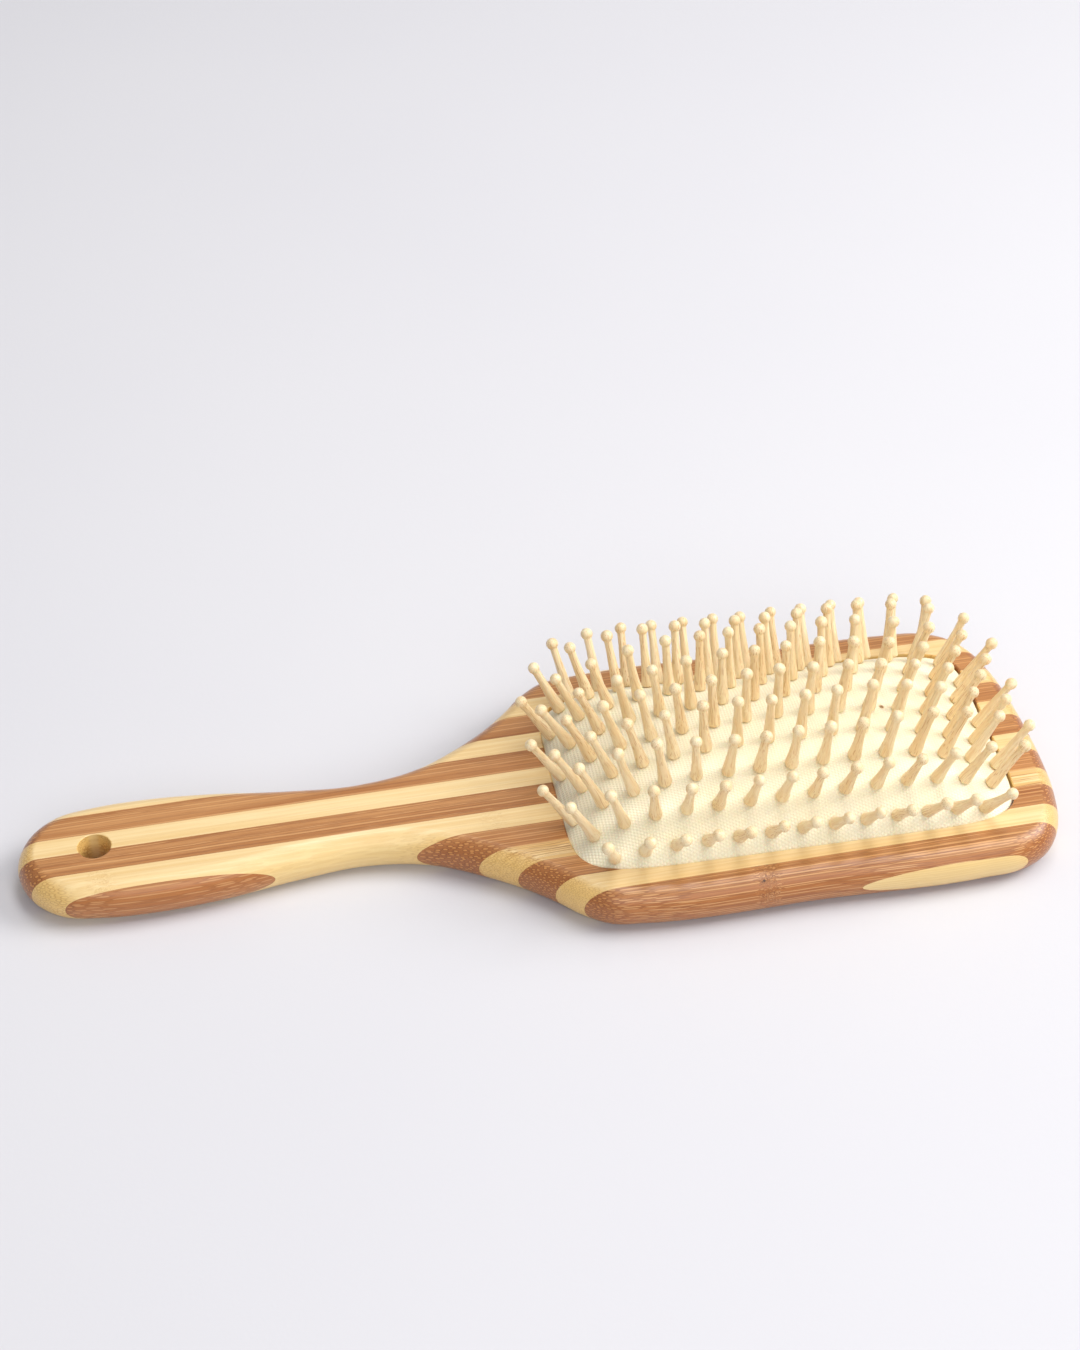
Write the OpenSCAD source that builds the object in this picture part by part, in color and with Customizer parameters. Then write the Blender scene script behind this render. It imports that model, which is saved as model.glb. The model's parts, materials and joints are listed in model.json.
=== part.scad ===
// Bamboo paddle brush with an air cushion and turned wooden pins.
// The brush lies on its back. +X runs from the hanging end of the handle to the tip of the
// head, +Y goes across the head and +Z points out of the pins. The origin is on the back
// face, under the middle of the brush.

/* [Board] */
// Thickness of the board
board_t = 11; // [10:0.5:14]
// How far the rounded edge stands out from the flat face
edge_reach = 4; // [3:0.1:5]
// Angle of the crease between the flat face and the rounded edge
crease_angle = 16; // [5:1:30]
// Distance from the hanging hole to the end of the flat face at the tip
tip_x = 223.7; // [215:0.1:235]
// Distance from the hanging hole to the end of the flat face at the tail
tail_x = 14.3; // [13:0.1:17]
// Half width of the flat face where the handle is fullest
bulge = 12.3; // [11:0.1:14]
// Half width of the flat face where the handle is narrowest
waist = 7.2; // [6:0.1:9]
// Half width of the flat face at the shoulders of the head
shoulder = 36.4; // [34:0.1:38]
// Half width of the flat face near the tip of the head
crown = 37.1; // [35:0.1:39]
// Distance that the handle sways to one side at its waist
sway = 0.6; // [0:0.1:1.5]
// Slant of the head's ends: distance along the brush for each millimetre across it
slant = -0.04; // [-0.06:0.01:0]
// Diameter of the hanging hole
hole_d = 7.6; // [6:0.1:9]

/* [Staves] */
// Width of a light stave
light_w = 5.57; // [5:0.01:6]
// Width of a dark stave
dark_w = 6.58; // [6:0.01:7]
// Angle between the staves and the brush
grain_angle = 1.4; // [0:0.1:2]
// Distance of the middle stave's centre line from the hanging hole
middle_y = 1.3; // [0:0.1:2]
// How much wider the ninth stave is than the other light ones
extra_9 = 0.4; // [0:0.05:0.6]
// How much wider the fourteenth stave is than the other dark ones
extra_14 = 0.25; // [0:0.05:0.6]

/* [Pocket and cushion] */
// Distance from the hanging hole to the middle of the cushion
cushion_x = 162.9; // [158:0.1:166]
// Half length of the cushion
cushion_a = 53.7; // [50:0.1:56]
// Half width of the cushion
cushion_b = 30.5; // [28:0.1:31.5]
// Squareness of the cushion's outline at the tip of the head
tip_n = 7.4; // [4:0.1:9]
// Squareness of the cushion's outline towards the handle
handle_n = 6.9; // [4:0.1:9]
// Height of the dome above its edge
dome_h = 13.9; // [9:0.1:15]
// Part of the dome's height that is evenly round
dome_round = 0.6; // [0.3:0.01:0.8]
// Power that squares the rest of the dome
dome_power = 3; // [3:0.1:5]
// How much fuller the dome is towards the handle
handle_full = 4.4; // [0:0.1:5]
// Thickness of the rubber
rubber_t = 1.3; // [1.2:0.1:1.5]
// Thickness of the cushion's wall
wall_t = 1; // [0.8:0.1:1.2]
// Height of the pocket's floor above the back face
floor_z = 3.4; // [3:0.1:4]
// Height of the groove's lower face above the back face
groove_z = 6.4; // [5.5:0.1:6.5]
// Height of the groove that holds the rim
groove_h = 1.9; // [1.8:0.1:2]
// Depth of the groove into the wall
groove_depth = 2; // [1.5:0.1:2.2]
// Diameter of the air vent
vent_d = 0.9; // [0.6:0.1:1.2]

/* [Pins] */
// Spacing of the pins along a row, in the middle of the cushion
pin_pitch = 7.63; // [7.4:0.01:7.8]
// Spacing of the rows, in the middle of the cushion
row_pitch = 7.5; // [7.2:0.1:7.6]
// Distance from the cushion's face to the centre of the ball
pin_h = 14.4; // [13:0.1:17]
// Diameter of the ball
ball_d = 2.9; // [2.4:0.1:3.2]
// Diameter of the foot on the cushion
foot_d = 3.1; // [2.6:0.1:3.4]
// Diameter of the shaft under the ball
shaft_d = 1.9; // [1.5:0.1:2.2]
// Diameter of the neck in the rubber
neck_d = 1.8; // [1.4:0.1:2]
// Diameter of the flat head under the rubber
head_d = 2.7; // [2.4:0.1:2.8]

/* [Hidden] */

light_colour = "#ecd09a";
dark_colour = "#b98250";
rubber_colour = "#fff8dc";
pin_colour = "#e6cf9f";

// The hanging hole sits at this X, so that the origin is under the middle of the brush.
hole_x = (tail_x - tip_x) / 2;
middle_stave = 7;
play = 0.25;
gap = 0.15;
foot_gap = 0.3;
head_gap = 0.75;
head_t = 0.7;
rim_t = 1.2;
edge_drop = 0.6;
cut = 1;
lean_x = 1.1;
lean_y = 0.97;
lean_h = 11.6;
lean_round = 0.42;
lean_power = 3.5;

// ---- outline of the flat face --------------------------------------------------------
// Half of it, from the middle of the tail to the middle of the tip, measured from the hole.
half_outline = [
  [-tail_x, 0],
  [-tail_x + 2.1, 0.5 * bulge],
  [-tail_x + 7, 0.83 * bulge],
  [0.2, 0.955 * bulge],
  [13, bulge],
  [27, 0.92 * bulge],
  [46, 0.69 * bulge],
  [62, waist],
  [79, waist + 3],
  [90, waist + 8.6],
  [98, waist + 13.9],
  [105, waist + 19.9],
  [110.7, shoulder - 3.7],
  [115.1, shoulder - 0.9],
  [121, shoulder],
  [165, (shoulder + crown) / 2],
  [tip_x - 21.6, crown],
  [tip_x - 12.1, crown - 0.9],
  [tip_x - 6.9, crown - 3.6],
  [tip_x - 3.9, crown - 7.6],
  [tip_x - 1.5, 0.58 * crown],
  [tip_x - 0.2, 0.25 * crown]
];
last = len(half_outline) - 1;
right_side = [for (p = half_outline) [p.x, -p.y]];
left_side = [for (i = [last : -1 : 1]) half_outline[i]];
knots = concat(right_side, [[tip_x, 0]], left_side);
n_knots = len(knots);
steps = 4;

function knot(i) = knots[(i + n_knots) % n_knots];
function span(i) = norm(knot(i + 1) - knot(i));
// Direction of a smooth curve through the knots, weighted by the spans beside each knot
function heading(i) =
  ((knot(i) - knot(i - 1)) / span(i - 1) * span(i)
   + (knot(i + 1) - knot(i)) / span(i) * span(i - 1)) / (span(i - 1) + span(i));
function curve(i, t) =
  let (t2 = t * t, t3 = t2 * t)
  (2 * t3 - 3 * t2 + 1) * knot(i) + (t3 - 2 * t2 + t) * span(i) * heading(i)
  + (3 * t2 - 2 * t3) * knot(i + 1) + (t3 - t2) * span(i) * heading(i + 1);

// The handle sways a little at its waist, and the head's ends slant a little.
sway_x = 68;
sway_l = 30;
slant_from = 51;
slant_l = 51;
function ramp(x) = min(1, max(0, (x - slant_from) / slant_l));
function bend(p) = [
  hole_x + p.x + slant * p.y * ramp(p.x),
  p.y + sway * exp(-pow((p.x - sway_x) / sway_l, 2))
];
face_points = [for (i = [0 : n_knots - 1], k = [0 : steps - 1]) bend(curve(i, k / steps))];
n_face = len(face_points);
function tangent(i) = face_points[(i + 1) % n_face] - face_points[(i + n_face - 1) % n_face];
function unit(v) = v / norm(v);
outward = [for (i = [0 : n_face - 1]) let (t = unit(tangent(i))) [t.y, -t.x]];

// ---- board ---------------------------------------------------------------------------
rings = 8;
function ring_angle(k) = crease_angle + (180 - 2 * crease_angle) * k / rings;
function ring_z(k) = board_t / 2 * (1 + cos(ring_angle(k)) / cos(crease_angle));
function ring_reach(k) =
  edge_reach * (sin(ring_angle(k)) - sin(crease_angle)) / (1 - sin(crease_angle));
board_points = [
  for (k = [0 : rings], i = [0 : n_face - 1])
    let (p = face_points[i] + outward[i] * ring_reach(k)) [p.x, p.y, ring_z(k)]
];

// Triangles between ring k and the next one, for rings of n points
function band(k, n) = [
  for (i = [0 : n - 1], h = [0, 1])
    let (a = k * n + i, b = k * n + (i + 1) % n)
    h == 0 ? [a, b, b + n] : [a, b + n, a + n]
];
function bands(count, n) = [for (k = [0 : count - 1]) each band(k, n)];

module board_blank() {
  top_face = [for (i = [n_face - 1 : -1 : 0]) i];
  back_face = [for (i = [0 : n_face - 1]) rings * n_face + i];
  polyhedron(board_points, concat([top_face, back_face], bands(rings, n_face)));
}

function squareness(x) = x < 0 ? handle_n : tip_n;
// A rounded rectangle as a superellipse, grown by g
function squircle(g, angle) =
  let (c = cos(angle), s = sin(angle), e = 2 / squareness(c))
  [(cushion_a + g) * sign(c) * pow(abs(c), e), (cushion_b + g) * sign(s) * pow(abs(s), e)];

module squircle_plate(g, z0, z1) {
  corners = 72;
  translate([hole_x + cushion_x, 0, z0])
    linear_extrude(z1 - z0)
      polygon([for (i = [0 : corners - 1]) squircle(g, 360 * i / corners)]);
}

module pocket() {
  squircle_plate(play, floor_z, board_t + cut);
  squircle_plate(play + groove_depth, groove_z, groove_z + groove_h);
}

module hanging_hole() {
  translate([hole_x, 0, -cut])
    cylinder(d = hole_d, h = board_t + 2 * cut, $fn = 64);
}

// Distance across the grain from the hanging hole to the +Y side of a stave
function stave_top(i) =
  let (steps_up = middle_stave - i)
  middle_y + light_w / 2 + ceil(steps_up / 2) * dark_w + floor(steps_up / 2) * light_w
  - (i > 9 ? extra_9 : 0) - (i > 14 ? extra_14 : 0);

// The stock of a stave: its slice of the board with the pocket milled out. Resizing to nothing
// new keeps the slice as one clean mesh, so that only the hanging hole is cut from it later.
module stave_stock(i) {
  reach = 300;
  resize([0, 0, 0])
    difference() {
      intersection() {
        board_blank();
        translate([hole_x, 0, -cut])
          rotate([0, 0, grain_angle])
            translate([-reach, stave_top(i + 1), 0])
              cube([2 * reach, stave_top(i) - stave_top(i + 1), board_t + 2 * cut]);
      }
      pocket();
    }
}

module stave(i) {
  drilled = abs(i - middle_stave) <= 1;
  if (drilled)
    difference() {
      stave_stock(i);
      hanging_hole();
    }
  else
    stave_stock(i);
}

// ---- cushion -------------------------------------------------------------------------
edge_z = board_t - edge_drop;
full_power = 10;
// How far out a point lies: 0 in the middle of the cushion and 1 on its outline
function outness(x, y) =
  let (n = squareness(x))
  pow(pow(abs(x / cushion_a), n) + pow(abs(y / cushion_b), n), 1 / n);
// Height of the dome. It fills out towards the handle, but not along its -Y side.
function dome(x, y) =
  let (
    r = outness(x, y),
    even = 1 - dome_round * pow(r, 2) - (1 - dome_round) * pow(r, dome_power),
    to_handle = pow(max(0, -x / cushion_a), 2),
    off_front = pow(1 - pow(max(0, -y / cushion_b), 2), 2)
  )
  edge_z + dome_h * even + handle_full * to_handle * off_front * (1 - pow(r, full_power));

// The pins fan out, though a little less than the dome's own slope would have it.
function lean(r) =
  lean_h * (2 * lean_round * r + (1 - lean_round) * lean_power * pow(r, lean_power - 1));
function lean_part(q, size, r, n) =
  sign(q) * pow(abs(q / size), n - 1) * pow(max(r, 0.001), 1 - n) / size;
function pin_direction(x, y) =
  let (r = outness(x, y), n = squareness(x))
  unit([
    lean_x * lean(r) * lean_part(x, cushion_a, r, n),
    lean_y * lean(r) * lean_part(y, cushion_b, r, n),
    1
  ]);

// Rings of the cushion from the top of the dome, round the rim and back under the dome.
// Each is [part of the outline, growth of the outline, drop below the dome, fixed height].
dome_rings = 11;
wall_power = 16;
on_dome = 0;
function ring_part(k) = sin(90 * k / dome_rings);
cushion_rings = concat(
  [for (k = [1 : dome_rings]) [ring_part(k), 0, 0, on_dome]],
  [
    [1, 0, 0, groove_z + play + rim_t],
    [1, groove_depth - play, 0, groove_z + play + rim_t],
    [1, groove_depth - play, 0, groove_z + play],
    [1, -wall_t, 0, groove_z + play]
  ],
  [for (k = [dome_rings - 1 : -1 : 1])
    [ring_part(k), -wall_t * pow(ring_part(k), wall_power), rubber_t, on_dome]]
);
cushion_facets = 52;
n_rings = len(cushion_rings);
function ring_point(ring, i) =
  let (
    outer = ring[0] * squircle(0, 360 * (i + 0.5) / cushion_facets),
    grown = ring[0] * squircle(ring[1], 360 * (i + 0.5) / cushion_facets),
    z = ring[3] == on_dome ? dome(outer.x, outer.y) - ring[2] : ring[3]
  )
  [hole_x + cushion_x + grown.x, grown.y, z];
cushion_points = concat(
  [for (ring = cushion_rings, i = [0 : cushion_facets - 1]) ring_point(ring, i)],
  [
    [hole_x + cushion_x, 0, dome(0, 0)],
    [hole_x + cushion_x, 0, dome(0, 0) - rubber_t]
  ]
);
function reversed(tri) = [tri[2], tri[1], tri[0]];

module cushion_shell() {
  top_point = n_rings * cushion_facets;
  top_fan = [for (i = [0 : cushion_facets - 1])
    [top_point, (i + 1) % cushion_facets, i]];
  low_fan = [for (i = [0 : cushion_facets - 1])
    [top_point + 1, (n_rings - 1) * cushion_facets + i,
     (n_rings - 1) * cushion_facets + (i + 1) % cushion_facets]];
  walls = [for (t = bands(n_rings - 1, cushion_facets)) t];
  polyhedron(cushion_points, concat(top_fan, low_fan, walls));
}

// ---- pins ----------------------------------------------------------------------------
// Rows count from the -Y side. The spacing closes up where the dome falls away.
row_counts = [13, 14, 15, 14, 15, 14, 15, 14, 13];
handle_squeeze = 0.033;
tip_squeeze = 0.052;
front_squeeze = 0.078;
back_squeeze = 0.115;
lattice_y = 0.45;
half_rows = 4;
half_columns = 7;
function pin_x(t) =
  let (squeeze = t < 0 ? handle_squeeze : tip_squeeze)
  hole_x + cushion_x + pin_pitch * (t - squeeze * pow(t, 3) / pow(half_columns, 2));
function row_y(row) =
  let (j = row - half_rows - 1, squeeze = j < 0 ? front_squeeze : back_squeeze)
  lattice_y + row_pitch * (j - squeeze * pow(j, 3) / pow(half_rows, 2));
function row_places(row) =
  let (n = row_counts[row - 1])
  [for (i = [0 : n - 1]) [pin_x(i - (n - 1) / 2), row_y(row)]];

// Puts a child on the cushion, standing the way that a pin does there
module on_cushion(x, y) {
  local_x = x - hole_x - cushion_x;
  up = pin_direction(local_x, y);
  translate([x, y, dome(local_x, y)])
    rotate([0, acos(up.z), atan2(up.y, up.x)])
      children();
}

module pin() {
  $fn = 32;
  neck_bottom = -rubber_t - head_gap;
  bevel = 0.2;
  toe_in = 0.3;
  toe_h = 0.4;
  ankle_z = 1.8;
  calf_z = 4;
  calf_in = 0.28;
  waist_z = 8;
  waist_out = 0.12;
  shaft_z = 11;
  profile = [
    [0, neck_bottom - head_t],
    [head_d / 2 - bevel, neck_bottom - head_t],
    [head_d / 2, neck_bottom - head_t + bevel],
    [head_d / 2, neck_bottom],
    [neck_d / 2, neck_bottom],
    [neck_d / 2, foot_gap],
    [foot_d / 2 - toe_in, foot_gap],
    [foot_d / 2, foot_gap + toe_h],
    [foot_d / 2, ankle_z],
    [foot_d / 2 - calf_in, calf_z],
    [shaft_d / 2 + waist_out, waist_z],
    [shaft_d / 2, shaft_z],
    [shaft_d / 2, pin_h],
    [0, pin_h]
  ];
  rotate_extrude()
    polygon(profile);
  translate([0, 0, pin_h])
    sphere(d = ball_d);
}

module pin_row(row) {
  color(pin_colour)
    for (p = row_places(row))
      on_cushion(p.x, p.y)
        pin();
}

// Each hole is an octagon that leaves the round neck a little play.
module pin_holes() {
  hole_l = 8;
  sides = 8;
  for (row = [1 : len(row_counts)])
    for (p = row_places(row))
      on_cushion(p.x, p.y)
        cylinder(d = (neck_d + 2 * gap) / cos(180 / sides), h = hole_l, center = true, $fn = sides);
}

module vent() {
  vent_column = 3.5;
  vent_row = 5;
  vent_y = 1;
  on_cushion(pin_x(vent_column), row_y(vent_row) + vent_y)
    cylinder(d = vent_d, h = 3 * rubber_t, center = true, $fn = 8);
}

// ---- sub-parts -----------------------------------------------------------------------
module stave_01_light() { color(light_colour) stave(1); }
module stave_02_dark() { color(dark_colour) stave(2); }
module stave_03_light() { color(light_colour) stave(3); }
module stave_04_dark() { color(dark_colour) stave(4); }
module stave_05_light() { color(light_colour) stave(5); }
module stave_06_dark() { color(dark_colour) stave(6); }
module stave_07_light() { color(light_colour) stave(7); }
module stave_08_dark() { color(dark_colour) stave(8); }
module stave_09_light() { color(light_colour) stave(9); }
module stave_10_dark() { color(dark_colour) stave(10); }
module stave_11_light() { color(light_colour) stave(11); }
module stave_12_dark() { color(dark_colour) stave(12); }
module stave_13_light() { color(light_colour) stave(13); }
module stave_14_dark() { color(dark_colour) stave(14); }
module stave_15_light() { color(light_colour) stave(15); }

module air_cushion() {
  color(rubber_colour)
    resize([0, 0, 0])
      difference() {
        cushion_shell();
        pin_holes();
        vent();
      }
}

module pins_row_1() { pin_row(1); }
module pins_row_2() { pin_row(2); }
module pins_row_3() { pin_row(3); }
module pins_row_4() { pin_row(4); }
module pins_row_5() { pin_row(5); }
module pins_row_6() { pin_row(6); }
module pins_row_7() { pin_row(7); }
module pins_row_8() { pin_row(8); }
module pins_row_9() { pin_row(9); }

stave_01_light();
stave_02_dark();
stave_03_light();
stave_04_dark();
stave_05_light();
stave_06_dark();
stave_07_light();
stave_08_dark();
stave_09_light();
stave_10_dark();
stave_11_light();
stave_12_dark();
stave_13_light();
stave_14_dark();
stave_15_light();
air_cushion();
pins_row_1();
pins_row_2();
pins_row_3();
pins_row_4();
pins_row_5();
pins_row_6();
pins_row_7();
pins_row_8();
pins_row_9();
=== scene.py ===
import json
import math
import random

import bmesh
import bpy
from mathutils import Matrix, Vector


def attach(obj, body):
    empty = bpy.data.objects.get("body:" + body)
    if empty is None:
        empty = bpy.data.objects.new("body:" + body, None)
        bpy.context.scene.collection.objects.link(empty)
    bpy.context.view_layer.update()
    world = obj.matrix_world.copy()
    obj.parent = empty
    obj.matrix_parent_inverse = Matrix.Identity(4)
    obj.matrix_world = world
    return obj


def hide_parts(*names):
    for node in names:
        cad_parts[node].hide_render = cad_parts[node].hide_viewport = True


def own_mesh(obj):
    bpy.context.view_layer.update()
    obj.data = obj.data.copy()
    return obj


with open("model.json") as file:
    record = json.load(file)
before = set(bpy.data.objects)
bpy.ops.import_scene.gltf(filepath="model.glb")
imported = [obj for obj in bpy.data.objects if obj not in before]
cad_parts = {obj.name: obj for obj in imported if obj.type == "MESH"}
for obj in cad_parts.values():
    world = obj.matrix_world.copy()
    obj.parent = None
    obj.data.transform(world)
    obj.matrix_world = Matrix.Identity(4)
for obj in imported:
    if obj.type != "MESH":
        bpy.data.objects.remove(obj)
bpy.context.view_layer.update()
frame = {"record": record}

MM = 0.001

# ---- sizes, in millimetres: those of the CAD model, and the small wear of the visible edges ----
BOARD_T = 11.0
EDGE_REACH = 4.0
CREASE = math.radians(16)
CREASE_WEAR = 0.45
TIP_X = 223.7
TAIL_X = 14.3
BULGE = 12.3
WAIST = 7.2
SHOULDER = 36.4
CROWN = 37.1
SWAY = 0.6
SLANT = -0.04
HOLE_D = 7.6
HOLE_X = (TAIL_X - TIP_X) / 2
LIGHT_W = 5.57
DARK_W = 6.58
GRAIN = math.radians(1.4)
MIDDLE_Y = 1.3
EXTRA_9 = 0.4
EXTRA_14 = 0.25
MIDDLE_STAVE = 7
N_STAVES = 15

PAD_X = HOLE_X + 162.9
PAD_A = 53.7
PAD_B = 30.5
TIP_N = 7.4
HANDLE_N = 6.9
DOME_H = 13.9
DOME_ROUND = 0.6
DOME_POWER = 3
HANDLE_FULL = 4.4
FULL_POWER = 10
EDGE_Z = BOARD_T - 0.6
PLAY = 0.25
FLOOR_Z = 3.4
GROOVE_Z = 6.4
GROOVE_H = 1.9
GROOVE_D = 2.0
RIM_T = 1.2
WALL_T = 1.0
RUBBER_T = 1.3
PAD_EDGE = 0.2
POCKET_LIP = 0.3
HOLE_LIP = 0.3

ROW_COUNTS = [13, 14, 15, 14, 15, 14, 15, 14, 13]
PIN_PITCH = 7.63
ROW_PITCH = 7.5
HANDLE_SQUEEZE = 0.033
TIP_SQUEEZE = 0.052
FRONT_SQUEEZE = 0.078
BACK_SQUEEZE = 0.115
LATTICE_Y = 0.45
PIN_H = 14.4
BALL_R = 1.45
SHAFT_R = 0.95
NECK_R = 0.9
PIN_HEAD_R = 1.35
LEAN_X = 1.1
LEAN_Y = 0.97
LEAN_H = 11.6
LEAN_ROUND = 0.42
LEAN_POWER = 3.5


# ---- small helpers ------------------------------------------------------------------------
def link(obj):
    bpy.context.scene.collection.objects.link(obj)
    return obj


def mesh_object(name, verts, faces):
    mesh = bpy.data.meshes.new(name)
    mesh.from_pydata([tuple(MM * c for c in v) for v in verts], [], faces)
    mesh.validate()
    mesh.update()
    mesh.polygons.foreach_set("use_smooth", [True] * len(mesh.polygons))
    return link(bpy.data.objects.new(name, mesh))


def bands(rings, count):
    """Quads that join each ring of count points to the next."""
    return [
        (k * count + i, k * count + (i + 1) % count,
         (k + 1) * count + (i + 1) % count, (k + 1) * count + i)
        for k in range(rings - 1) for i in range(count)
    ]


def lathe(profile, count):
    """Points and faces of a closed turned piece. The profile runs from the axis to the axis."""
    verts = [(0.0, 0.0, profile[0][1])]
    for r, z in profile[1:-1]:
        verts += [(r * math.cos(2 * math.pi * i / count),
                   r * math.sin(2 * math.pi * i / count), z) for i in range(count)]
    verts.append((0.0, 0.0, profile[-1][1]))
    rings = len(profile) - 2
    faces = [(0, 1 + (i + 1) % count, 1 + i) for i in range(count)]
    faces += [tuple(1 + v for v in f) for f in bands(rings, count)]
    end = len(verts) - 1
    first = 1 + (rings - 1) * count
    faces += [(first + i, first + (i + 1) % count, end) for i in range(count)]
    return verts, faces


def boolean(obj, cutter):
    """Cuts the cutter out of obj and removes the cutter."""
    modifier = obj.modifiers.new("cut", "BOOLEAN")
    modifier.operation = "DIFFERENCE"
    modifier.solver = "EXACT"
    modifier.object = cutter
    bpy.context.view_layer.update()
    graph = bpy.context.evaluated_depsgraph_get()
    mesh = bpy.data.meshes.new_from_object(obj.evaluated_get(graph))
    obj.modifiers.clear()
    old = obj.data
    obj.data = mesh
    bpy.data.meshes.remove(old)
    bpy.data.objects.remove(cutter)


def smooth_by_angle(obj, degrees):
    bm = bmesh.new()
    bm.from_mesh(obj.data)
    for face in bm.faces:
        face.smooth = True
    for edge in bm.edges:
        if len(edge.link_faces) == 2:
            edge.smooth = edge.calc_face_angle() < math.radians(degrees)
    bm.to_mesh(obj.data)
    bm.free()


# ---- board --------------------------------------------------------------------------------
HALF_OUTLINE = [
    (-TAIL_X, 0), (-TAIL_X + 2.1, 0.5 * BULGE), (-TAIL_X + 7, 0.83 * BULGE),
    (0.2, 0.955 * BULGE), (13, BULGE), (27, 0.92 * BULGE), (46, 0.69 * BULGE),
    (62, WAIST), (79, WAIST + 3), (90, WAIST + 8.6), (98, WAIST + 13.9),
    (105, WAIST + 19.9), (110.7, SHOULDER - 3.7), (115.1, SHOULDER - 0.9), (121, SHOULDER),
    (165, (SHOULDER + CROWN) / 2), (TIP_X - 21.6, CROWN), (TIP_X - 12.1, CROWN - 0.9),
    (TIP_X - 6.9, CROWN - 3.6), (TIP_X - 3.9, CROWN - 7.6), (TIP_X - 1.5, 0.58 * CROWN),
    (TIP_X - 0.2, 0.25 * CROWN),
]


def face_outline(steps):
    """The outline of the flat face, counter-clockwise, with its outward directions."""
    knots = [Vector((x, -y)) for x, y in HALF_OUTLINE] + [Vector((TIP_X, 0))]
    knots += [Vector((x, y)) for x, y in reversed(HALF_OUTLINE[1:])]
    n = len(knots)
    span = [(knots[(i + 1) % n] - knots[i]).length for i in range(n)]
    headings = []
    for i in range(n):
        before, after = span[i - 1], span[i]
        back = (knots[i] - knots[i - 1]) / before
        ahead = (knots[(i + 1) % n] - knots[i]) / after
        headings.append((back * after + ahead * before) / (before + after))
    points = []
    for i in range(n):
        j = (i + 1) % n
        for k in range(steps):
            t = k / steps
            t2, t3 = t * t, t ** 3
            p = ((2 * t3 - 3 * t2 + 1) * knots[i] + (t3 - 2 * t2 + t) * span[i] * headings[i]
                 + (3 * t2 - 2 * t3) * knots[j] + (t3 - t2) * span[i] * headings[j])
            ramp = min(1, max(0, (p.x - 51) / 51))
            points.append(Vector((HOLE_X + p.x + SLANT * p.y * ramp,
                                  p.y + SWAY * math.exp(-((p.x - 68) / 30) ** 2))))
    count = len(points)
    outward = []
    for i in range(count):
        t = (points[(i + 1) % count] - points[i - 1]).normalized()
        outward.append(Vector((t.y, -t.x)))
    return points, outward


def edge_profile():
    """[distance outward, height] down the rounded edge, with the two creases a little worn."""
    def at(angle):
        reach = EDGE_REACH * (math.sin(angle) - math.sin(CREASE)) / (1 - math.sin(CREASE))
        return reach, BOARD_T / 2 * (1 + math.cos(angle) / math.cos(CREASE))

    count = 26
    low = [at(CREASE + (math.pi - 2 * CREASE) * k / count) for k in range(2, count - 1)]
    first = low[0]
    worn = []
    for k in range(5):
        t = k / 5
        a, b, c = (1 - t) ** 2, 2 * t * (1 - t), t * t
        worn.append((a * -CREASE_WEAR + c * first[0], a * BOARD_T + b * BOARD_T + c * first[1]))
    mirrored = [(r, BOARD_T - z) for r, z in reversed(worn)]
    return worn + low + mirrored


def make_board():
    points, outward = face_outline(10)
    verts = []
    profile = edge_profile()
    for reach, z in profile:
        verts += [(p.x + d.x * reach, p.y + d.y * reach, z) for p, d in zip(points, outward)]
    count = len(points)
    faces = [tuple(reversed(f)) for f in bands(len(profile), count)]
    faces.append(tuple(range(count)))
    faces.append(tuple(reversed(range((len(profile) - 1) * count, len(profile) * count))))
    return mesh_object("board_blank", verts, faces)


def squareness(x):
    return HANDLE_N if x < 0 else TIP_N


def squircle(grow, count):
    """Evenly spaced points of the cushion's outline, grown by grow, about its middle."""
    fine = []
    for i in range(count * 16):
        angle = 2 * math.pi * i / (count * 16)
        c, s = math.cos(angle), math.sin(angle)
        power = 2 / squareness(c)
        fine.append(Vector((
            (PAD_A + grow) * math.copysign(abs(c) ** power, c),
            (PAD_B + grow) * math.copysign(abs(s) ** power, s),
        )))
    total = [0.0]
    for i in range(len(fine)):
        total.append(total[-1] + (fine[(i + 1) % len(fine)] - fine[i]).length)
    points, j = [], 0
    for i in range(count):
        want = total[-1] * i / count
        while total[j + 1] < want:
            j += 1
        t = (want - total[j]) / max(1e-9, total[j + 1] - total[j])
        points.append(fine[j].lerp(fine[(j + 1) % len(fine)], t))
    return points


def pocket_cutter():
    count = 200
    lip = POCKET_LIP
    top = BOARD_T
    rings = [(PLAY, FLOOR_Z), (PLAY, GROOVE_Z), (PLAY + GROOVE_D, GROOVE_Z),
             (PLAY + GROOVE_D, GROOVE_Z + GROOVE_H), (PLAY, GROOVE_Z + GROOVE_H),
             (PLAY, top - lip), (PLAY + 0.13 * lip, top - 0.5 * lip),
             (PLAY + 0.5 * lip, top - 0.13 * lip), (PLAY + lip, top + 0.004),
             (PLAY + lip, top + 2)]
    verts = []
    for grow, z in rings:
        verts += [(PAD_X + p.x, p.y, z) for p in squircle(grow, count)]
    faces = bands(len(rings), count)
    faces.append(tuple(reversed(range(count))))
    faces.append(tuple(range((len(rings) - 1) * count, len(rings) * count)))
    return mesh_object("pocket_cutter", verts, faces)


def hole_cutter():
    r, soft = HOLE_D / 2, HOLE_LIP
    profile = [(0, -2), (r + soft, -2), (r + soft, -0.004), (r + 0.3 * soft, 0.3 * soft),
               (r, soft), (r, BOARD_T - soft), (r + 0.3 * soft, BOARD_T - 0.3 * soft),
               (r + soft, BOARD_T + 0.004), (r + soft, BOARD_T + 2), (0, BOARD_T + 2)]
    verts, faces = lathe(profile, 72)
    return mesh_object("hole_cutter", [(x + HOLE_X, y, z) for x, y, z in verts], faces)


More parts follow.
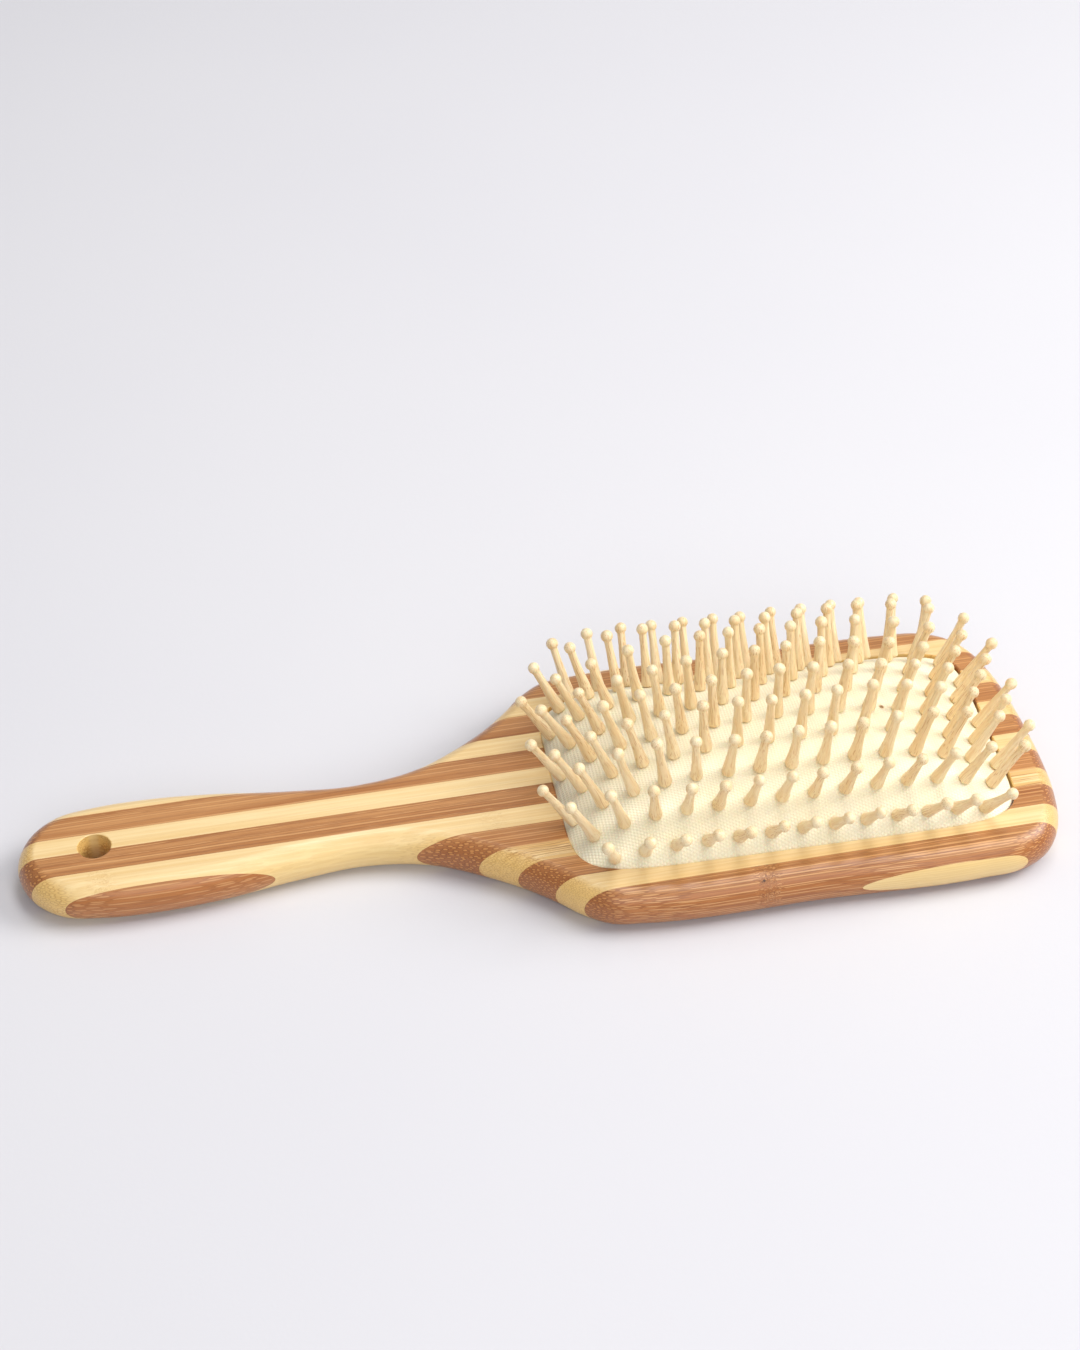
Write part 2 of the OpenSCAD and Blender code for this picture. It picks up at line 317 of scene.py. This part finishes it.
def stave_top(i):
    up = MIDDLE_STAVE - i
    wider = (EXTRA_9 if i > 9 else 0) + (EXTRA_14 if i > 14 else 0)
    steps = math.ceil(up / 2) * DARK_W + math.floor(up / 2) * LIGHT_W
    return MIDDLE_Y + LIGHT_W / 2 + steps - wider


def slice_board(board, i):
    """The part of the board that lies between the two glue lines of stave i."""
    name = "bamboo_stave_%02d" % i
    across = Vector((-math.sin(GRAIN), math.cos(GRAIN), 0))
    hole = Vector((HOLE_X * MM, 0, 0))
    bm = bmesh.new()
    bm.from_mesh(board.data)
    for distance, normal in ((stave_top(i), across), (stave_top(i + 1), -across)):
        geometry = bm.verts[:] + bm.edges[:] + bm.faces[:]
        cut = bmesh.ops.bisect_plane(
            bm, geom=geometry, dist=1e-8, plane_co=hole + across * distance * MM,
            plane_no=normal, clear_outer=True)
        edges = [e for e in cut["geom_cut"] if isinstance(e, bmesh.types.BMEdge)]
        if edges:
            bmesh.ops.edgeloop_fill(bm, edges=edges)
    bmesh.ops.dissolve_degenerate(bm, dist=2e-7, edges=bm.edges[:])
    bmesh.ops.recalc_face_normals(bm, faces=bm.faces[:])
    for face in bm.faces:
        face.smooth = abs(face.normal.z) < 0.9999 and abs(face.normal.dot(across)) < 0.99999
    for edge in bm.edges:
        if len(edge.link_faces) == 2:
            edge.smooth = edge.calc_face_angle() < math.radians(24)
    mesh = bpy.data.meshes.new(name)
    bm.to_mesh(mesh)
    bm.free()
    return link(bpy.data.objects.new(name, mesh))


# ---- cushion --------------------------------------------------------------------------------
def outness(x, y):
    n = squareness(x)
    return (abs(x / PAD_A) ** n + abs(y / PAD_B) ** n) ** (1 / n)


def dome(x, y):
    """Height of the dome. It fills out towards the handle, but not along its -Y side."""
    r = outness(x, y)
    even = 1 - DOME_ROUND * r ** 2 - (1 - DOME_ROUND) * r ** DOME_POWER
    to_handle = max(0.0, -x / PAD_A) ** 2
    off_front = (1 - max(0.0, -y / PAD_B) ** 2) ** 2
    return EDGE_Z + DOME_H * even + HANDLE_FULL * to_handle * off_front * (1 - r ** FULL_POWER)


def pin_frame(x, y):
    """Where a pin stands on the cushion, and which way it points."""
    lx = x - PAD_X
    r, n = outness(lx, y), squareness(lx)
    lean = LEAN_H * (2 * LEAN_ROUND * r
                     + (1 - LEAN_ROUND) * LEAN_POWER * r ** (LEAN_POWER - 1))

    def part(q, size):
        return math.copysign(abs(q / size) ** (n - 1), q) * max(r, 0.001) ** (1 - n) / size

    up = Vector((LEAN_X * lean * part(lx, PAD_A), LEAN_Y * lean * part(y, PAD_B), 1))
    return Vector((x, y, dome(lx, y))), up.normalized()


def pin_x(t):
    squeeze = HANDLE_SQUEEZE if t < 0 else TIP_SQUEEZE
    return PAD_X + PIN_PITCH * (t - squeeze * t ** 3 / 49)


def row_y(row):
    j = row - 5
    squeeze = FRONT_SQUEEZE if j < 0 else BACK_SQUEEZE
    return LATTICE_Y + ROW_PITCH * (j - squeeze * j ** 3 / 16)


VENT_X, VENT_Y = pin_x(3.5), row_y(5) + 1
# The rubber sits against the pocket's wall towards the handle and towards the front.
SIT_X, SIT_Y = 0.2, 0.2


def make_cushion():
    # rings: part of the outline, growth of the outline, and rise over the dome or fixed height
    count, dome_rings = 240, 52
    edge = PAD_EDGE
    rings = []
    for k in range(1, dome_rings):
        part = math.sin(0.5 * math.pi * k / dome_rings)
        rings.append((part, -edge * part ** 24, 0.0, None))
    rings += [(1, -edge, 0.1, None), (1, -0.3 * edge, -0.12, None), (1, 0, -0.5, None),
              (1, 0, 0, GROOVE_Z + PLAY + RIM_T + 0.15), (1, 0.15, 0, GROOVE_Z + PLAY + RIM_T),
              (1, GROOVE_D - PLAY, 0, GROOVE_Z + PLAY + RIM_T),
              (1, GROOVE_D - PLAY, 0, GROOVE_Z + PLAY), (1, -WALL_T, 0, GROOVE_Z + PLAY)]
    inner = 20
    for k in range(inner - 1, 0, -1):
        part = math.sin(0.5 * math.pi * k / inner)
        rings.append((part, -WALL_T * part ** 16, -RUBBER_T, None))
    verts = []
    plain = squircle(0, count)
    for part, grow, rise, height in rings:
        grown = squircle(grow, count) if abs(grow) > 1e-4 else plain
        for p, g in zip(plain, grown):
            z = dome(part * p.x, part * p.y) + rise if height is None else height
            verts.append((PAD_X - SIT_X + part * g.x, part * g.y - SIT_Y, z))
    faces = [tuple(reversed(f)) for f in bands(len(rings), count)]
    top, low = len(verts), len(verts) + 1
    verts += [(PAD_X - SIT_X, -SIT_Y, dome(0, 0)), (PAD_X - SIT_X, -SIT_Y, dome(0, 0) - RUBBER_T)]
    faces += [(top, i, (i + 1) % count) for i in range(count)]
    last = (len(rings) - 1) * count
    faces += [(low, last + (i + 1) % count, last + i) for i in range(count)]
    pad = mesh_object("rubber_air_cushion", verts, faces)
    place, normal = pin_frame(VENT_X, VENT_Y)
    vent = [(0, -3), (0.42, -3), (0.42, -0.5), (0.46, -0.12), (0.62, 0.06), (0.62, 1.5), (0, 1.5)]
    vent_verts, vent_faces = lathe(vent, 24)
    turn = normal.to_track_quat("Z", "Y")
    cutter = mesh_object("vent_cutter", [tuple(place + turn @ Vector(v)) for v in vent_verts],
                         vent_faces)
    boolean(pad, cutter)
    smooth_by_angle(pad, 35)
    return pad


# ---- pins -----------------------------------------------------------------------------------
def pin_profile(rng):
    """[radius, height] of one turned pin from its head under the rubber to the top of its ball."""
    ball = BALL_R * rng.uniform(0.96, 1.04)
    fat = rng.uniform(0.96, 1.06)
    high = PIN_H + rng.uniform(-0.25, 0.2)
    shaft = SHAFT_R * fat
    profile = [(0, -2.75), (1.15, -2.75), (PIN_HEAD_R, -2.55), (PIN_HEAD_R, -2.07),
               (NECK_R, -2.05), (NECK_R, 0.1),
               (1.2, 0.14), (1.42, 0.26), (1.53 * fat, 0.55), (1.56 * fat, 1.0),
               (1.5 * fat, 1.9), (1.4 * fat, 3.0), (1.28 * fat, 4.3), (1.16 * fat, 6.0),
               (1.06 * fat, 8.0), (shaft, 10.2), (0.93 * fat, 11.8)]
    join = math.asin(min(0.95, shaft / ball))
    profile.append((shaft, high - ball * math.cos(join) - 0.22))
    steps = 9
    for k in range(steps):
        angle = math.pi - join - (math.pi - join) * k / steps
        profile.append((ball * math.sin(angle), high + ball * math.cos(angle)))
    profile.append((0, high + ball))
    return profile


def make_row(row):
    rng = random.Random(100 + row)
    verts, faces, grain, tone = [], [], [], []
    sides = 22
    n = ROW_COUNTS[row - 1]
    for i in range(n):
        place, normal = pin_frame(pin_x(i - (n - 1) / 2), row_y(row))
        turn = normal.to_track_quat("Z", "Y")
        tilt = Vector((rng.gauss(0, 0.013), rng.gauss(0, 0.013), 0))
        bow = Vector((rng.gauss(0, 0.1), rng.gauss(0, 0.1), 0))
        spin = rng.uniform(0, 2 * math.pi)
        shift = Vector((rng.uniform(-50, 50), rng.uniform(-50, 50), rng.uniform(-50, 50)))
        shade = rng.random()
        wobble, phase = rng.uniform(0.0, 0.03), rng.uniform(0, 6.28)
        points, sheets = lathe(pin_profile(rng), sides)
        start = len(verts)
        for p in points:
            v = Vector(p)
            lift = max(0.0, v.z) / PIN_H
            if 0.6 < v.z < 12.5:
                angle = math.atan2(v.y, v.x)
                swell = 1 + wobble * math.sin(angle + phase + 0.5 * v.z)
                v = Vector((v.x * swell, v.y * swell, v.z))
            grain.append(Matrix.Rotation(spin, 3, "Z") @ v + shift)
            tone.append(shade)
            v += tilt * max(0.0, v.z) + bow * 4 * lift * (1 - lift) * 0.5
            verts.append(tuple(place + turn @ v))
        faces += [tuple(start + k for k in f) for f in sheets]
    obj = mesh_object("turned_pins_row_%d" % row, verts, faces)
    place_at = obj.data.attributes.new("pin_grain", "FLOAT_VECTOR", "POINT")
    place_at.data.foreach_set("vector", [c for g in grain for c in g])
    shade_at = obj.data.attributes.new("pin_tone", "FLOAT", "POINT")
    shade_at.data.foreach_set("value", tone)
    smooth_by_angle(obj, 50)
    return obj


# ---- materials --------------------------------------------------------------------------------
class Finish:
    """A material, and short names for the nodes that it is made of."""

    def __init__(self, name):
        self.material = bpy.data.materials.new(name)
        self.material.use_nodes = True
        self.tree = self.material.node_tree
        self.tree.nodes.clear()

    def node(self, kind, inputs=None, **settings):
        made = self.tree.nodes.new("ShaderNode" + kind)
        for key, value in settings.items():
            setattr(made, key, value)
        for key, value in (inputs or {}).items():
            if isinstance(value, bpy.types.NodeSocket):
                self.tree.links.new(value, made.inputs[key])
            else:
                made.inputs[key].default_value = value
        return made

    def math(self, operation, a, b=0.0, c=0.0, clamp=False):
        return self.node("Math", {0: a, 1: b, 2: c}, operation=operation, use_clamp=clamp).outputs[0]

    def vector(self, operation, a, b=(0, 0, 0), scale=None):
        inputs = {0: a, 1: b}
        if scale is not None:
            inputs = {0: a, "Scale": scale}
        made = self.node("VectorMath", inputs, operation=operation)
        return made.outputs["Value" if operation in ("DOT_PRODUCT", "LENGTH", "DISTANCE") else 0]

    def stretch(self, vector, scale, shift=(0, 0, 0)):
        """The vector scaled and then shifted."""
        return self.node("VectorMath", {0: vector, 1: scale, 2: shift},
                         operation="MULTIPLY_ADD").outputs[0]

    def noise(self, vector, scale=1.0, detail=2.0, rough=0.5):
        return self.node("TexNoise", {"Vector": vector, "Scale": scale, "Detail": detail,
                                      "Roughness": rough}).outputs[0]

    def ramp(self, value, low, high, start=0.0, end=1.0):
        """Start below low, end above high, and a smooth step between them."""
        return self.node("MapRange", {0: value, 1: low, 2: high, 3: start, 4: end},
                         interpolation_type="SMOOTHSTEP").outputs[0]

    def mix(self, share, a, b):
        return self.node("Mix", {0: share, 6: a, 7: b}, data_type="RGBA").outputs[2]

    def shader(self, colour, rough, height, distance, **constants):
        bump = self.node("Bump", {"Height": height, "Distance": distance, "Strength": 1.0})
        shade = self.node("BsdfPrincipled", {"Base Color": colour, "Roughness": rough,
                                             "Normal": bump.outputs[0]})
        for key, value in constants.items():
            shade.inputs[key.replace("_", " ")].default_value = value
        self.node("OutputMaterial", {"Surface": shade.outputs[0]})


def srgb(r, g, b):
    """A linear colour from its 0 to 255 display values."""
    def one(c):
        c /= 255
        return c / 12.92 if c <= 0.04045 else ((c + 0.055) / 1.055) ** 2.4
    return (one(r), one(g), one(b), 1.0)


# Colours of the two kinds of stave: pale and deep grain, a bundle of fibres where it is cut
# across and where it runs along the face, the rim of a bundle, end grain, painted shade for
# the faces that turn away from up (side), and dark grain lines.
LIGHT = {"pale": srgb(243, 217, 164), "deep": srgb(234, 200, 138), "bundle": srgb(242, 206, 130),
         "streak": srgb(222, 180, 112), "rim": srgb(184, 126, 56), "cut": srgb(232, 186, 100),
         "side": srgb(242, 206, 128), "line": srgb(168, 112, 54)}
DARK = {"pale": srgb(198, 141, 84), "deep": srgb(168, 107, 52), "bundle": srgb(228, 160, 84),
        "streak": srgb(216, 162, 104), "rim": srgb(108, 54, 18), "cut": srgb(158, 90, 34),
        "side": srgb(182, 102, 26), "line": srgb(124, 66, 24)}


def bamboo(name, tones, seed, streaks=0.35, pitch=1.1, wave=0.25, lines=0.0, knuckles=()):
    """Laminated bamboo. Fibres run along the stave, so they show as streaks along the face and as
    dots where an edge cuts across them. A knuckle is [place along the brush, height, strength]."""
    f = Finish(name)
    place = f.node("TexCoord").outputs["Object"]
    p = f.node("Mapping", {"Vector": place, "Rotation": (0, 0, -GRAIN),
                           "Scale": (1000, 1000, 1000)}).outputs[0]
    moved = f.stretch(p, (1, 1, 1), (seed * 37.1, seed * 11.3, seed * 5.7))
    normal = f.node("TexCoord").outputs["Normal"]
    along = f.math("ABSOLUTE", f.vector("DOT_PRODUCT", normal,
                                        (math.cos(GRAIN), math.sin(GRAIN), 0)))
    end_grain = f.ramp(along, 0.1, 0.42)
    # painted shade: side goes from 0 on faces that look up to 1 on faces that turn away from up
    side = f.ramp(f.node("SeparateXYZ", {0: normal}).outputs[2], 0.5, 0.97, 1.0, 0.0)

    # knuckles: short stretches where the fibres swirl
    swirl = None
    xyz = f.node("SeparateXYZ", {0: p})
    for at, height, strength in knuckles:
        ragged = f.math("MULTIPLY_ADD", f.noise(f.stretch(moved, (0.2, 0.9, 0.9)), 1.0, 3.0), 5.0,
                        -2.5 - at)
        dx = f.math("ADD", xyz.outputs[0], ragged)
        dz = f.math("MULTIPLY", f.math("SUBTRACT", xyz.outputs[2], height), 0.33)
        far = f.math("SQRT", f.math("ADD", f.math("POWER", f.math("ABSOLUTE", dx), 2.0),
                                    f.math("POWER", f.math("ABSOLUTE", dz), 2.0)))
        one = f.ramp(far, 0.6, 4.2, strength, 0.0)
        swirl = one if swirl is None else f.math("MAXIMUM", swirl, one)

    # wavy grain
    drift = f.node("TexNoise", {"Vector": f.stretch(moved, (0.045, 0.35, 0.35)), "Scale": 1.0,
                                "Detail": 3.0, "Roughness": 0.55}).outputs["Color"]
    drift = f.vector("SUBTRACT", drift, (0.5, 0.5, 0.5))
    q = f.vector("ADD", moved, f.vector("MULTIPLY", drift, (0, 2.4 * wave, 2.4 * wave)))
    if swirl is not None:
        knot = f.node("TexNoise", {"Vector": f.stretch(moved, (0.55, 0.8, 0.8)), "Scale": 1.0,
                                   "Detail": 3.0}).outputs["Color"]
        knot = f.vector("SUBTRACT", knot, (0.5, 0.5, 0.5))
        knot = f.vector("SCALE", knot, scale=f.math("MULTIPLY", swirl, 5.0))
        q = f.vector("ADD", q, f.vector("MULTIPLY", knot, (2, 1, 1)))

    # bundles of fibres: endless rods along the stave
    parts = f.node("SeparateXYZ", {0: q})
    crowd = f.math("MULTIPLY_ADD", xyz.outputs[2], -0.035, 1.2)
    down = f.math("DIVIDE", parts.outputs[2], pitch)
    down = f.math("MULTIPLY", down, crowd)
    over = f.math("DIVIDE", parts.outputs[1], pitch)
    lattice = f.node("CombineXYZ", {0: f.math("ADD", over, down), 1: f.math("SUBTRACT", down, over),
                                    2: 0.0}).outputs[0]
    cell = f.node("TexVoronoi", {"Vector": lattice, "Scale": 0.8, "Randomness": 0.62},
                  voronoi_dimensions="2D", feature="F1")
    near = f.math("MULTIPLY_ADD",
                  f.noise(f.stretch(q, (0.3, 5.0, 5.0)), 1.0, 2.0), 0.16, cell.outputs["Distance"])
    core = f.ramp(near, 0.3, 0.4, 1.0, 0.0)
    halo = f.math("SUBTRACT", f.ramp(near, 0.44, 0.56, 1.0, 0.0), core, clamp=True)

    # grain
    broad = f.noise(f.stretch(q, (0.012, 0.55, 0.4)), 1.0, 4.0, 0.6)
    fine = f.noise(f.stretch(q, (0.05, 5.5, 4.5)), 1.0, 3.0, 0.6)
    hair = f.noise(f.stretch(q, (0.14, 14.0, 12.0)), 1.0, 2.0, 0.6)
    dust = f.noise(f.stretch(q, (2.2, 6.0, 6.0)), 1.0, 2.0, 0.6)

    base = f.mix(f.ramp(broad, 0.3, 0.7), tones["pale"], tones["deep"])
    fine_share = f.math("MULTIPLY", f.ramp(fine, 0.42, 0.68), 0.55)
    base = f.mix(fine_share, base, tones["deep"])
    thread = f.math("MULTIPLY", f.ramp(hair, 0.56, 0.72), 0.6 * streaks)
    base = f.mix(thread, base, tones["streak"])
    dark_thread = f.math("MULTIPLY", f.ramp(hair, 0.42, 0.3), 0.5 * streaks)
    base = f.mix(dark_thread, base, tones["rim"])
    if lines:
        lined = f.noise(f.stretch(q, (0.02, 2.6, 0.8)), 1.0, 3.0, 0.65)
        base = f.mix(f.math("MULTIPLY", f.ramp(lined, 0.49, 0.56), lines), base, tones["line"])
    # painted shade: faces that turn away from up take the darker, more saturated side tone
    base = f.mix(f.math("MULTIPLY", side, 0.5), base, tones["side"])
    run = f.math("MULTIPLY", core, streaks)
    face = f.mix(run, base, tones["streak"])
    face = f.mix(f.math("MULTIPLY", halo, 0.45 * streaks), face, tones["rim"])

    cut = f.mix(0.6, base, tones["cut"])
    cut = f.mix(f.math("MULTIPLY", f.ramp(dust, 0.45, 0.7), 0.3), cut, tones["rim"])
    cut = f.mix(f.math("MULTIPLY", core, 0.5), cut, tones["bundle"])
    cut = f.mix(f.math("MULTIPLY", halo, 0.45), cut, tones["rim"])
    colour = f.mix(end_grain, face, cut)

    if swirl is not None:
        streaky = f.noise(f.stretch(q, (0.5, 3.2, 3.2)), 1.0, 4.0, 0.7)
        colour = f.mix(f.math("MULTIPLY", swirl, f.ramp(streaky, 0.5, 0.66, 0.0, 0.8)), colour,
                       tones["rim"])
        colour = f.mix(f.math("MULTIPLY", swirl, f.ramp(streaky, 0.44, 0.36, 0.0, 0.6)), colour,
                       tones["pale"])
        pit = f.node("TexVoronoi", {"Vector": f.stretch(moved, (0.42, 0.42, 0.6)),
                                    "Scale": 1.0}).outputs["Distance"]
        pit = f.math("MULTIPLY", f.ramp(pit, 0.1, 0.2, 1.0, 0.0), f.ramp(swirl, 0.45, 0.7))
        colour = f.mix(f.math("MULTIPLY", pit, 0.85), colour, srgb(60, 32, 16))

    relief = f.math("MULTIPLY_ADD", hair, 0.45, f.math("MULTIPLY", fine, 0.6))
    relief = f.math("MULTIPLY_ADD", core, f.math("MULTIPLY_ADD", end_grain, 0.5, 0.08), relief)
    rough = f.math("MULTIPLY_ADD", fine, 0.22, 0.26)
    f.shader(colour, rough, relief, 0.00005, Coat_Weight=0.5, Coat_Roughness=0.3,
             Coat_IOR=1.5, IOR=1.5)
    return f.material


def rubber(name):
    """Cream rubber with a fine embossed dot pattern."""
    f = Finish(name)
    place = f.node("TexCoord").outputs["Object"]
    p = f.stretch(place, (1000, 1000, 1000), (-PAD_X, 0, 0))
    wobble = f.noise(f.stretch(p, (0.05, 0.05, 0.05)), 1.0, 2.0)
    pattern = None
    for kx, ky in ((1.38, 0.0), (0.69, 1.5), (0.69, -1.5)):
        turns = f.vector("DOT_PRODUCT", p, (2 * math.pi * kx, 2 * math.pi * ky, 0))
        wave = f.math("COSINE", f.math("MULTIPLY_ADD", wobble, 2.0, turns))
        pattern = wave if pattern is None else f.math("ADD", pattern, wave)
    dots = f.ramp(pattern, -1.4, 2.4)
    mottle = f.noise(f.stretch(p, (0.09, 0.09, 0.09)), 1.0, 3.0)
    specks = f.noise(f.stretch(p, (1.6, 1.6, 1.6)), 1.0, 2.0)
    base = f.mix(f.ramp(mottle, 0.3, 0.7), srgb(255, 249, 222), srgb(254, 246, 214))
    # painted shade: the low parts of the embossed dots are painted darker, as shade in the hollows
    base = f.mix(f.math("MULTIPLY", f.ramp(dots, 0.5, 0.1), 0.24), base, srgb(224, 204, 166))
    base = f.mix(f.math("MULTIPLY", f.ramp(specks, 0.62, 0.8), 0.12), base, srgb(190, 170, 130))
    place_v, _ = pin_frame(VENT_X, VENT_Y)
    ring = f.vector("DISTANCE", p, (VENT_X - PAD_X, VENT_Y, place_v.z))
    base = f.mix(f.ramp(ring, 0.5, 0.85, 0.6, 0.0), base, srgb(196, 140, 84))
    rough = f.math("MULTIPLY_ADD", mottle, 0.12, 0.5)
    f.shader(base, rough, dots, 0.0001, IOR=1.48, Subsurface_Weight=0.08,
             Subsurface_Scale=0.0015, Sheen_Weight=0.08, Sheen_Roughness=0.5)
    return f.material


def pin_wood(name):
    """Pale bamboo turned into pins, with the streaks along each pin and dots on its ball."""
    f = Finish(name)
    p = f.node("Attribute", {}, attribute_name="pin_grain").outputs["Vector"]
    tone = f.node("Attribute", {}, attribute_name="pin_tone").outputs["Fac"]
    drift = f.node("TexNoise", {"Vector": f.stretch(p, (0.25, 0.25, 0.12)), "Scale": 1.0,
                                "Detail": 2.0}).outputs["Color"]
    q = f.vector("ADD", p, f.vector("SCALE", drift, scale=1.6))
    broad = f.noise(f.stretch(q, (0.8, 0.8, 0.05)), 1.0, 2.0)
    fine = f.noise(f.stretch(q, (4.0, 4.0, 0.16)), 1.0, 3.0, 0.6)
    parts = f.node("SeparateXYZ", {0: q})
    flat = f.node("CombineXYZ", {0: parts.outputs[0], 1: parts.outputs[1], 2: 0.0}).outputs[0]
    cell = f.node("TexVoronoi", {"Vector": flat, "Scale": 2.3, "Randomness": 0.8},
                  voronoi_dimensions="2D", feature="F1").outputs["Distance"]
    cell = f.math("MULTIPLY_ADD", f.noise(f.stretch(q, (3.0, 3.0, 0.6)), 1.0, 2.0), 0.24, cell)
    thread = f.ramp(cell, 0.24, 0.36, 1.0, 0.0)
    base = f.mix(f.ramp(broad, 0.35, 0.65), srgb(249, 232, 194), srgb(240, 216, 170))
    base = f.mix(f.math("MULTIPLY", f.ramp(fine, 0.45, 0.7), 0.5), base, srgb(220, 182, 124))
    strength = f.math("MULTIPLY", thread, f.ramp(tone, 0.2, 1.0, 0.2, 0.75))
    base = f.mix(strength, base, srgb(196, 144, 84))
    base = f.mix(f.ramp(tone, 0.6, 1.0, 0.0, 0.2), base, srgb(232, 194, 136))
    rough = f.math("MULTIPLY_ADD", fine, 0.2, 0.3)
    relief = f.math("MULTIPLY_ADD", thread, -0.6, fine)
    f.shader(base, rough, relief, 0.00004, IOR=1.5, Coat_Weight=0.2, Coat_Roughness=0.25,
             Subsurface_Weight=0.05, Subsurface_Scale=0.001)
    return f.material


def floor_paper(name):
    """Smooth studio paper, near white with a trace of lavender."""
    f = Finish(name)
    place = f.node("TexCoord").outputs["Object"]
    cloud = f.noise(place, 3.0, 3.0)
    grit = f.noise(place, 900.0, 2.0)
    base = f.mix(f.ramp(cloud, 0.3, 0.7), srgb(217, 216, 219), srgb(214, 213, 217))
    f.shader(base, 0.75, grit, 0.00002, Specular_IOR_Level=0.2)
    return f.material


# ---- camera -----------------------------------------------------------------------------------
SENSOR, LENS, SHIFT_Y = 36.0, 67.78, 0.0533
CAMERA_REACH = 0.6158
AZIMUTH, ELEVATION, ROLL = math.radians(-10.247), math.radians(43.73), math.radians(-0.272)
camera_data = bpy.data.cameras.new("studio_camera")
camera_data.sensor_fit = "AUTO"
camera_data.sensor_width = SENSOR
camera_data.lens = LENS
camera_data.shift_y = SHIFT_Y
camera_data.clip_start, camera_data.clip_end = 0.01, 20
camera = link(bpy.data.objects.new("studio_camera", camera_data))
back = Vector((math.sin(AZIMUTH) * math.cos(ELEVATION), -math.cos(AZIMUTH) * math.cos(ELEVATION),
               math.sin(ELEVATION)))
aim = Vector((HOLE_X + 108.13, 13.70, BOARD_T)) * MM
camera.rotation_mode = "QUATERNION"
camera.rotation_quaternion = ((-back).to_track_quat("-Z", "Y").to_matrix()
                              @ Matrix.Rotation(ROLL, 3, "Z")).to_quaternion()
camera.location = aim + back * CAMERA_REACH
bpy.context.scene.camera = camera

# ---- pieces -----------------------------------------------------------------------------------
BODY_OF = {n: b for b, ns in frame["record"]["behaviour"]["bodies"].items() for n in ns}

STAVE_LOOK = {
    1: dict(streaks=0.3), 2: dict(streaks=0.5), 3: dict(streaks=0.25), 4: dict(streaks=0.55),
    5: dict(streaks=0.3), 6: dict(streaks=0.5), 7: dict(streaks=0.25), 8: dict(streaks=0.6),
    9: dict(streaks=0.25, knuckles=((-104, 10, 0.5), (-12, 11, 0.35))),
    10: dict(streaks=0.5, pitch=1.0), 11: dict(streaks=0.9, pitch=0.85, wave=0.5, lines=0.8),
    12: dict(streaks=0.5, pitch=1.0, lines=0.4), 13: dict(streaks=0.3, pitch=0.9),
    14: dict(streaks=0.7, lines=0.5, knuckles=((46.5, 8.6, 1.0),)),
    15: dict(streaks=0.3),
}

board = make_board()
boolean(board, pocket_cutter())
boolean(board, hole_cutter())
for i in range(1, N_STAVES + 1):
    kind, tones = ("light", LIGHT) if i % 2 else ("dark", DARK)
    stave = slice_board(board, i)
    stave.data.materials.append(bamboo("bamboo_%02d" % i, tones, i, **STAVE_LOOK[i]))
    node = "stave_%02d_%s" % (i, kind)
    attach(stave, BODY_OF[node])
    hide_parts(node)
bpy.data.objects.remove(board)

pad = make_cushion()
pad.data.materials.append(rubber("cream_rubber"))
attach(pad, "cushion")
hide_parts("air_cushion")

turned = pin_wood("turned_bamboo")
for row in range(1, len(ROW_COUNTS) + 1):
    pins = make_row(row)
    pins.data.materials.append(turned)
    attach(pins, "pin_row_%d" % row)
    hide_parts("pins_row_%d" % row)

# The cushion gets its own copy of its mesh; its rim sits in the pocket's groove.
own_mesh(pad)

# ---- floor and light ----------------------------------------------------------------------------
def floor_sheet():
    """A flat sheet, in metres, that curves up far behind the brush."""
    count, size, rise, bend_y = 24, 2.5, 1.2, 0.9
    verts, faces = [], []
    for i in range(count + 1):
        for j in range(count + 1):
            x = (i / count - 0.5) * 2 * size
            y = (j / count - 0.5) * 2 * size
            z = rise * max(0.0, (y - bend_y) / (size - bend_y)) ** 2
            verts.append((x / MM, y / MM, z / MM))
    for i in range(count):
        for j in range(count):
            a = i * (count + 1) + j
            faces.append((a, a + count + 1, a + count + 2, a + 1))
    return mesh_object("studio_floor", verts, faces)


floor = floor_sheet()
floor.data.materials.append(floor_paper("studio_paper"))
floor.location.z = -0.00002


def soft_light(name, place, size, power, tint):
    data = bpy.data.lights.new(name, "AREA")
    data.shape = "RECTANGLE"
    data.size, data.size_y = size
    data.energy = power
    data.color = tint
    obj = link(bpy.data.objects.new(name, data))
    obj.location = place
    obj.rotation_mode = "QUATERNION"
    obj.rotation_quaternion = (Vector((0.02, 0, 0)) - obj.location).to_track_quat("-Z", "Y")


soft_light("key_light", Vector((1.05, 0.0, 0.85)), (0.7, 0.7), 13.0, (1.0, 0.99, 0.98))
soft_light("top_light", Vector((0.25, 0.06, 1.2)), (1.1, 0.4), 6.5, (1.0, 0.985, 0.98))
soft_light("front_light", Vector((0.1, -1.1, 0.8)), (1.4, 0.6), 6.0, (1.0, 0.99, 0.98))

world = bpy.data.worlds.new("studio_world")
world.use_nodes = True
sky = world.node_tree.nodes["Background"]
sky.inputs["Color"].default_value = (0.93, 0.95, 1.0, 1.0)
sky.inputs["Strength"].default_value = 0.38
bpy.context.scene.world = world
bpy.context.scene.view_settings.view_transform = "Standard"
